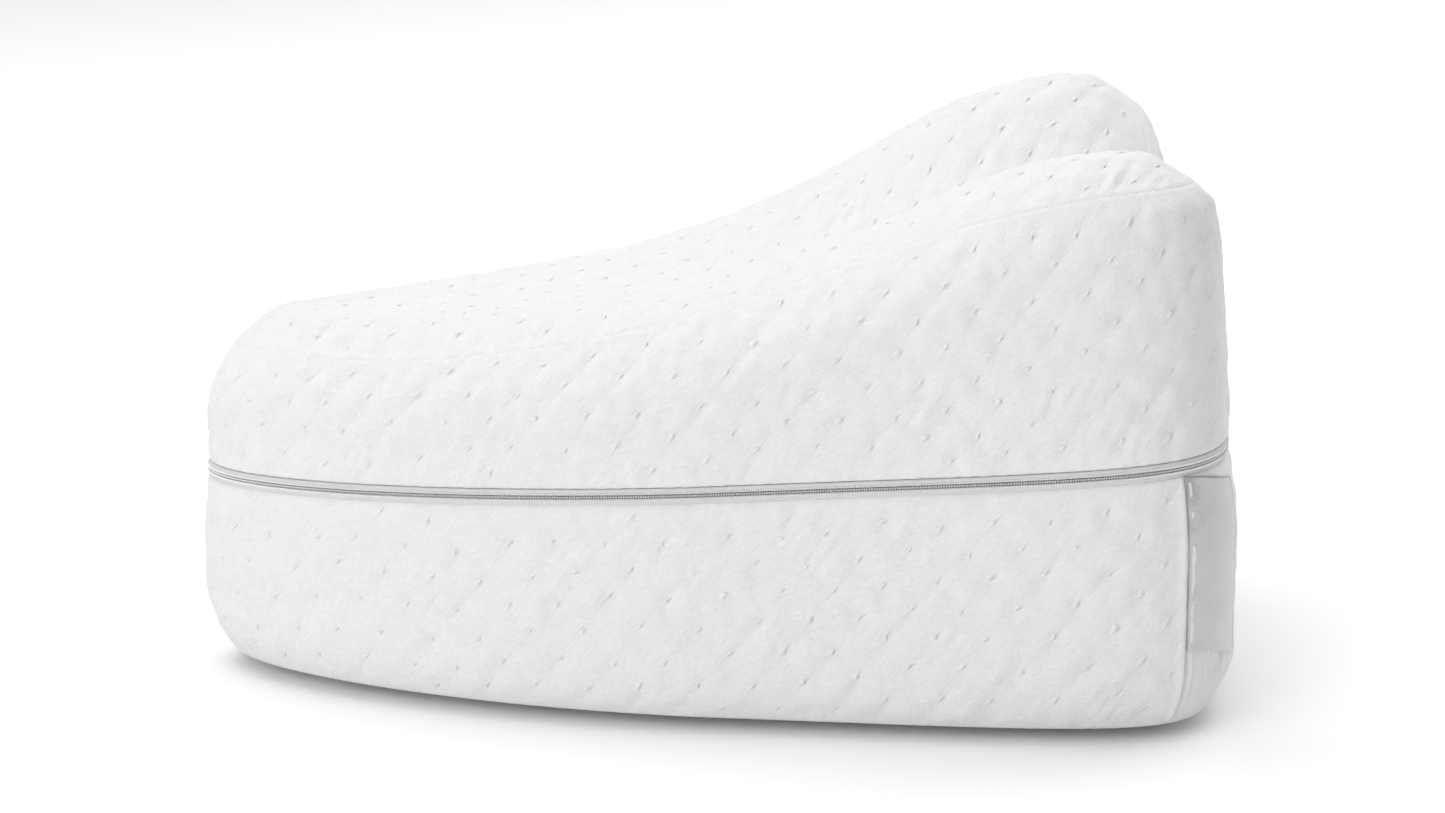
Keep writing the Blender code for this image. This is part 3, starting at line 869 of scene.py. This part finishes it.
class Shading:
    """A short way to write a material's nodes."""

    def __init__(self, name):
        self.material = bpy.data.materials.new(name)
        self.material.use_nodes = True
        self.tree = self.material.node_tree
        self.shader = self.tree.nodes["Principled BSDF"]

    def node(self, kind, inputs=(), **settings):
        made = self.tree.nodes.new(kind)
        for key, value in settings.items():
            setattr(made, key, value)
        for key, value in dict(inputs).items():
            self.give(made.inputs[key], value)
        return made

    def give(self, socket, value):
        """Links a node's output to a socket, or sets its value."""
        if isinstance(value, bpy.types.NodeSocket):
            self.tree.links.new(value, socket)
        else:
            socket.default_value = value

    def maths(self, operation, *values, kind="ShaderNodeMath"):
        return self.node(kind, dict(enumerate(values)), operation=operation).outputs[0]

    def mapped(self, vector, **change):
        return self.node("ShaderNodeMapping", {"Vector": vector, **change}).outputs[0]

    def laid(self, name):
        """The parts of a map of the cloth."""
        vector = self.node("ShaderNodeUVMap", uv_map=name).outputs[0]
        return self.node("ShaderNodeSeparateXYZ", {"Vector": vector}).outputs

    def cloth(self, turn=0, across=1.0, along=1.0, sway=0.0):
        """The cloth's own coordinates in millimetres, swayed, turned and then scaled along and across."""
        vector = self.node("ShaderNodeUVMap", uv_map="cloth").outputs[0]
        size = UV_SCALE / MM
        if sway:
            wide = self.mapped(vector, Scale=(size / SWAY_LENGTH,) * 3)
            swept = self.noise(wide, detail=1.0, output="Color")
            swept = self.maths("MULTIPLY", swept, (sway / size,) * 3, kind="ShaderNodeVectorMath")
            vector = self.maths("ADD", vector, swept, kind="ShaderNodeVectorMath")
        vector = self.mapped(vector, Rotation=(0, 0, np.radians(-turn)))
        return self.mapped(vector, Scale=(size / along, size / across, 1))

    def noise(self, vector, detail=2.0, distortion=0.0, output="Fac"):
        sockets = {"Vector": vector, "Scale": 1.0, "Detail": detail, "Distortion": distortion}
        return self.node("ShaderNodeTexNoise", sockets).outputs[output]

    def colours(self, share, *stops):
        """A colour ramp over share, from (place, grey or colour) stops."""
        ramp = self.node("ShaderNodeValToRGB", {"Fac": share})
        for number, (place, colour) in enumerate(stops):
            stop = ramp.color_ramp.elements[number] if number < 2 else ramp.color_ramp.elements.new(place)
            stop.position = place
            colour = colour if isinstance(colour, tuple) else (colour,) * 3
            stop.color = (*colour, 1)
        return ramp.outputs[0]

    def bump(self, height, distance, strength=1.0):
        sockets = {"Height": height, "Distance": distance, "Strength": strength}
        return self.node("ShaderNodeBump", sockets).outputs[0]

    def finish(self, **sockets):
        for key, value in sockets.items():
            self.give(self.shader.inputs[key.replace("_", " ")], value)
        return self.material


def tick_details(look):
    """The fine forms of each tick: how far they stand off the cloth in millimetres, and their painted light.
    """
    parts = look.laid("tick")
    uneven = look.noise(look.cloth(along=UNEVEN_LENGTH, across=UNEVEN_LENGTH), detail=1.0)
    straight = look.maths("SUBTRACT", parts[1], UNEVEN_SWAY / 2)
    across = look.maths("MULTIPLY_ADD", uneven, UNEVEN_SWAY, straight)
    stands, tone_with_painted_light = 0, 0
    for place, half_length, half_width, height, change in TICK_DETAILS:
        along = look.maths("DIVIDE", parts[0], half_length)
        aside = look.maths("DIVIDE", look.maths("SUBTRACT", across, place), half_width)
        away = look.maths("MULTIPLY_ADD", along, along, look.maths("MULTIPLY", aside, aside))
        form = look.maths("EXPONENT", look.maths("MULTIPLY", away, -1))
        stands = look.maths("MULTIPLY_ADD", form, height, stands)
        # Painted light: a change below 0 paints shade into slits and creases, one above 0 a highlight onto
        # buds.
        tone_with_painted_light = look.maths("MULTIPLY_ADD", form, change, tone_with_painted_light)
    return stands, tone_with_painted_light


def plush():
    """Short white pile in fine slanted strokes, with the fine slits and buds of the quilting and their
    painted shade and highlights.
    """
    look = Shading("white_plush")
    strokes = look.noise(look.cloth(turn=38, along=2.0, across=0.27, sway=2.6), distortion=0.35)
    fuzz = look.noise(look.cloth(turn=20, along=0.4, across=0.25), detail=1.0)
    stands, tone_with_painted_light = tick_details(look)
    pile = look.maths("MULTIPLY_ADD", strokes, 0.2, look.maths("MULTIPLY", fuzz, 0.03))
    # The strokes' own tone plus painted shade in the ticks' slits and creases and painted highlights on their
    # buds.
    tone_with_painted_light = look.maths("ADD", strokes, tone_with_painted_light)
    return look.finish(
        Base_Color=look.colours(tone_with_painted_light, (0.0, 0.55), (0.32, 0.77), (0.68, 0.835), (1.0, 0.90)),
        Roughness=0.95,
        Specular_IOR_Level=0.2,
        Sheen_Weight=0.05,
        Sheen_Roughness=0.5,
        Normal=look.bump(look.maths("ADD", pile, stands), 1 * MM),
    )


def tape_weave():
    """Pale grey polyester tape with a fine rib."""
    look = Shading("grey_zip_tape")
    sockets = {"Vector": look.cloth(), "Scale": 0.8, "Distortion": 0.6, "Detail": 1.0}
    rib = look.node("ShaderNodeTexWave", sockets)
    grain = look.noise(look.cloth(along=0.5, across=0.3))
    return look.finish(
        Base_Color=look.colours(grain, (0.25, (0.62, 0.62, 0.63)), (0.75, (0.72, 0.72, 0.73))),
        Roughness=0.75,
        Sheen_Weight=0.1,
        Normal=look.bump(rib.outputs["Fac"], 0.08 * MM, 0.6),
    )


def plain(name, colour, roughness):
    """A small hard part's finish with a faint grain."""
    look = Shading(name)
    place = look.node("ShaderNodeTexCoord").outputs["Object"]
    grain = look.noise(look.mapped(place, Scale=(1 / (GRAIN_SIZE * MM),) * 3), detail=3.0)
    dark = tuple(0.9 * part for part in colour)
    return look.finish(
        Base_Color=look.colours(grain, (0.3, dark), (0.7, colour)),
        Roughness=roughness,
        Normal=look.bump(grain, GRAIN_BUMP * MM),
    )


def satin():
    """A woven satin ribbon with faint ribs across it, with painted shade towards its top and sewn edge and
    along its free and top edges.
    """
    look = Shading("white_satin")
    ribs = look.noise(look.cloth(along=2.4, across=0.18), detail=1.0)
    cloud = look.noise(look.cloth(along=9.0, across=7.0), detail=1.0)
    parts = look.laid("cloth")
    weave_and_painted_shade = look.maths("ADD", look.maths("MULTIPLY", ribs, 0.35), look.maths("MULTIPLY", cloud, 0.4))
    # Painted shade: the satin grows lighter towards its free edge and darker towards its top.
    weave_and_painted_shade = look.maths("MULTIPLY_ADD", parts[0], 0.3 * UV_SCALE / LABEL_LENGTH, weave_and_painted_shade)
    weave_and_painted_shade = look.maths("MULTIPLY_ADD", parts[1], -0.2 * UV_SCALE / LABEL_HEIGHT, weave_and_painted_shade)
    # Painted shade: a dark band along the label's free edge and another along its top edge.
    edges = ((parts[0], LABEL_LENGTH, LABEL_EDGE_PAINTED_SHADE), (parts[1], LABEL_HEIGHT, LABEL_TOP_PAINTED_SHADE))
    for part, size, shade in edges:
        sockets = {"Value": part, "From Min": (size - shade) / UV_SCALE, "From Max": size / UV_SCALE}
        edge = look.node("ShaderNodeMapRange", sockets).outputs[0]
        weave_and_painted_shade = look.maths("MULTIPLY_ADD", edge, -0.5, weave_and_painted_shade)
    return look.finish(
        Base_Color=look.colours(weave_and_painted_shade, (0.0, 0.30), (0.25, (0.60, 0.60, 0.61)), (0.7, (0.72, 0.72, 0.73))),
        Roughness=0.42,
        Sheen_Weight=0.15,
        Anisotropic=0.4,
        Normal=look.bump(ribs, 0.05 * MM, 0.7),
    )


def tape_section(front, side):
    """A tape's whole section from its front, which faces out; side is 1 above the zip and -1 below it."""
    whole = front + ((TAPE_BACK, front[-1][1]), (TAPE_BACK, front[0][1]))
    return np.array(whole[::side]) * [MM, side * MM]


def strip(name, profile, made_of):
    """A closed strip round the waist from its section, as rows of inset and height over the waist."""
    distance = np.arange(ZIP_COLUMNS) * Edge.length / ZIP_COLUMNS
    edge = Edge(distance[:, None] + np.zeros((1, len(profile))))
    points = edge.place(profile[None, :, 0], edge.waist + profile[None, :, 1])
    index = closed(closed(numbered(ZIP_COLUMNS, len(profile))).T).T
    around = np.diff(closed(profile), axis=0)
    run = np.concatenate([[0], np.cumsum(np.hypot(around[:, 0], around[:, 1]))])
    laid = stacked(np.append(distance, Edge.length)[:, None], run).reshape(-1, 2)
    corners = grid_faces(numbered(ZIP_COLUMNS + 1, len(run)), 1)
    return mesh_object(name, points.reshape(-1, 3), grid_faces(index, 1), laid[corners], made_of)


def bead():
    """One rounded stitch, 2 across, as its points and faces."""
    points = [(0.0, 0.0, -1.0)]
    for ring in range(1, BEAD_RINGS):
        rise = np.pi * ring / BEAD_RINGS
        for side in range(BEAD_SIDES):
            turn = 2 * np.pi * side / BEAD_SIDES
            points.append((np.sin(rise) * np.cos(turn), np.sin(rise) * np.sin(turn), -np.cos(rise)))
    points.append((0.0, 0.0, 1.0))
    faces = []
    for side in range(BEAD_SIDES):
        after = (side + 1) % BEAD_SIDES
        faces.append((0, 1 + after, 1 + side))
        for ring in range(BEAD_RINGS - 2):
            a, b = 1 + ring * BEAD_SIDES, 1 + (ring + 1) * BEAD_SIDES
            faces.append((a + side, a + after, b + after, b + side))
        top = 1 + (BEAD_RINGS - 2) * BEAD_SIDES
        faces.append((top + side, top + after, len(points) - 1))
    return np.array(points), faces


def beads(name, inset, height, radii, pitch, made_of, slot):
    """A row of small rounded stitches round the waist; radii are along, out and up, in millimetres."""
    count = int(round(Edge.length / (pitch * MM)))
    edge = Edge(np.arange(count) * Edge.length / count)
    centres = edge.place(inset * MM, edge.waist + height * MM)
    out = stacked(edge.out_x, edge.out_y, 0.0)
    along = stacked(-edge.out_y, edge.out_x, 0.0)
    local, faces = bead()
    local = local * np.array(radii) * MM
    flat = along[:, None] * local[None, :, :1] + out[:, None] * local[None, :, 1:2]
    points = (centres[:, None] + flat + local[None, :, 2:] * [0, 0, 1]).reshape(-1, 3)
    every = [[copy * len(local) + corner for corner in face] for copy in range(count) for face in faces]
    data = bpy.data.meshes.new(name)
    data.from_pydata((points + MIDDLE).tolist(), [], every)
    layer = data.uv_layers.new(name="cloth")
    corners = np.empty(len(data.loops), dtype=np.int32)
    data.loops.foreach_get("vertex_index", corners)
    corners = points[corners]
    laid = stacked(corners[:, 0] + corners[:, 1], corners[:, 2]) / UV_SCALE
    layer.uv.foreach_set("vector", laid.astype(np.float32).ravel())
    return added(name, data, made_of)


def shell(name, front, back, made_of):
    """A thin closed sheet between a front and a back grid of points."""
    rows, columns = front.shape[:2]
    index = numbered(rows, columns)
    faces = [grid_faces(index, 1), grid_faces(index + rows * columns, -1)]
    rim = np.concatenate([index[:-1, 0], index[-1, :-1], index[:0:-1, -1], index[0, :0:-1]])
    after = np.roll(rim, -1)
    faces.append(stacked(after, rim, rim + rows * columns, after + rows * columns))
    faces = np.concatenate(faces)
    laid = stacked(np.arange(rows)[:, None], np.arange(columns)).reshape(-1, 2)
    laid = laid * [LABEL_LENGTH / (rows - 1), LABEL_HEIGHT / (columns - 1)]
    points = np.concatenate([front.reshape(-1, 3), back.reshape(-1, 3)])
    made = mesh_object(name, points, faces, np.tile(laid, (2, 1))[faces], made_of)
    made.data.set_sharp_from_angle(angle=np.radians(LABEL_SHARP_ANGLE))
    return made


def label_bottom(distance):
    """How far down the lower band's cloth the label's foot lies."""
    share = np.clip((distance - LABEL_START) / LABEL_LENGTH, 0, 1)
    return LABEL_BELOW_FOLD + (LABEL_DROP + LABEL_FLARE) * share + LABEL_HEIGHT


def tick_sizes(distance, down):
    """How strong the lower band's ticks are: none under the label, weak beside it and full elsewhere."""
    low = LABEL_START - LABEL_COVER_MARGIN
    high = LABEL_START + LABEL_LENGTH
    covered = (distance > low) & (distance < high) & (down < label_bottom(distance) + LABEL_COVER_MARGIN)
    beside = (distance > CALM_START) & (distance < high)
    return np.where(covered, 0, np.where(beside, CALM_SIZE, 1))


def label_creases(distance, down):
    """The drawn-in cover round the label: faint upright creases beside it and pleats below it."""
    beside = smooth(distance, CALM_START, LABEL_START) * (1 - smooth(distance, LABEL_START, LABEL_START + MM))
    creases = waves(distance, down, CREASE_LENGTH, CREASE_SEED, stretch=CREASE_STRETCH, turn=CREASE_TURN)
    below = down - label_bottom(distance)
    fade = smooth(below, *PLEAT_TOP) * (1 - smooth(below, *PLEAT_FOOT))
    reach = smooth(distance, PLEAT_START, PLEAT_START + PLEAT_PITCH)
    reach = reach * (1 - smooth(distance, PLEAT_END - PLEAT_PITCH, PLEAT_END))
    pleats = np.sin(2 * np.pi * (distance - PLEAT_LEAN * below) / PLEAT_PITCH)
    return CREASE_HEIGHT * beside * creases + PLEAT_HEIGHT * fade * reach * pleats


def label():
    """The bare satin label, sewn in at its near edge and slightly lifted at its free one."""
    a = np.linspace(0, 1, LABEL_COLUMNS)[:, None]
    b = np.linspace(0, 1, LABEL_ROWS)[None, :]
    distance = LABEL_START + LABEL_LENGTH * a + 0 * b
    rise = Edge(distance).waist - Edge(LABEL_START).waist
    down = LABEL_BELOW_FOLD + rise + LABEL_DROP * a + (LABEL_HEIGHT + LABEL_FLARE * a) * (1 - b)
    wave = waves(LABEL_LENGTH * a + 0 * b, LABEL_HEIGHT * b + 0 * a, LABEL_WAVE_LENGTH, LABEL_WAVE_SEED)
    lift = LABEL_LIFT * a**3 * (LABEL_TOP_LIFT + (1 - LABEL_TOP_LIFT) * (1 - b))
    off = LABEL_OFF + lift + LABEL_WAVE * wave * smooth(a, 0, LABEL_WAVE_FULL)
    out = -facing(lower_band_place, distance, down)
    back = lower_band_place(distance, down) + out * off[..., None]
    made = shell("satin_label", back + out * LABEL_THICKNESS, back, SATIN)
    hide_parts("label")


def build_cover():
    """The four sewn panels of the cover."""
    upper = band(
        "cover_upper_band", upper_band_place, upper_band_height,
        lowest=[-TUCK - 2 * GROOVE_HALF_HEIGHT, -TUCK] + FOLD_ROWS,
        rows=UPPER_BAND_ROWS, join=UPPER_JOIN, side=1, tilt=4.5, seed=11,
    )
    band(
        "cover_lower_band", lower_band_place, lower_band_height,
        lowest=[-TUCK] + FOLD_ROWS,
        rows=LOWER_BAND_ROWS, join=LOWER_JOIN, side=-1, tilt=1.5, seed=23,
        extra=label_creases, sizes=tick_sizes,
    )
    panel(
        "cover_top_panel", top_rim_place, top_rim_width, top_field_place,
        lay=lambda x: np.interp(x, *LAID), side=1, tilt=0, seed=37,
    )
    panel(
        "cover_bottom_panel", bottom_rim_place, bottom_rim_width, bottom_field_place,
        lay=lambda x: x, side=-1, tilt=0, seed=41, lift=BOTTOM_LIFT,
    )
    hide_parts("cushion")


def build_zip():
    """The two woven tapes with their stitches, and the closed teeth between them."""
    upper = strip("zip_tape_woven_upper", tape_section(UPPER_TAPE, 1), TAPE)
    lower = strip("zip_tape_woven_lower", tape_section(LOWER_TAPE, -1), TAPE)
    coil = beads("zip_teeth_row", *TEETH_ROW, TEETH, "zip_teeth")
    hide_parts("zip_tape_upper")
    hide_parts("zip_tape_lower")
    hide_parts("zip_coil")
    beads("zip_stitches_upper", *UPPER_STITCHES, THREAD, "zip_tape")
    beads("zip_stitches_lower", *LOWER_STITCHES, THREAD, "zip_tape")


def held(name, data, place, turn):
    """Puts a lamp or a camera into the scene."""
    holder = bpy.data.objects.new(name, data)
    bpy.context.scene.collection.objects.link(holder)
    holder.location = place
    holder.rotation_euler = turn
    return holder


def build_stage():
    """The pale floor, the soft lights and the camera."""
    bpy.ops.mesh.primitive_plane_add(size=FLOOR_SIZE)
    floor = bpy.context.object
    floor.name = "floor"
    look = Shading("pale_floor")
    floor.data.materials.append(look.finish(Base_Color=(0.98, 0.98, 0.98, 1), Roughness=0.9))
    world = bpy.data.worlds.new("soft_studio")
    bpy.context.scene.world = world
    world.use_nodes = True
    background = world.node_tree.nodes["Background"].inputs
    background["Color"].default_value = (1, 1, 1, 1)
    background["Strength"].default_value = WORLD_STRENGTH
    for name, place, size, power in LIGHTS:
        lamp = bpy.data.lights.new(name, "AREA")
        lamp.shape = "DISK"
        lamp.size = size
        lamp.energy = power
        held(name, lamp, place, (LIGHT_AIM - Vector(place)).to_track_quat("-Z", "Y").to_euler())
    camera = bpy.data.cameras.new("camera")
    camera.sensor_width = 36
    camera.lens = CAMERA_LENS
    bpy.context.scene.camera = held("camera", camera, CAMERA_PLACE, np.radians(CAMERA_TURN))
    bpy.context.scene.view_settings.view_transform = "Standard"


LAID = laid_out()
PLUSH = plush()
TAPE = tape_weave()
TEETH = plain("grey_zip_teeth", (0.8, 0.8, 0.81), 0.45)
THREAD = plain("pale_thread", (0.93, 0.93, 0.93), 0.7)
METAL = plain("painted_metal", (0.72, 0.72, 0.72), 0.35)
SATIN = satin()

build_cover()
build_zip()
label()
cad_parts["zip_slider"].data.materials.clear()
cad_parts["zip_slider"].data.materials.append(METAL)
build_stage()
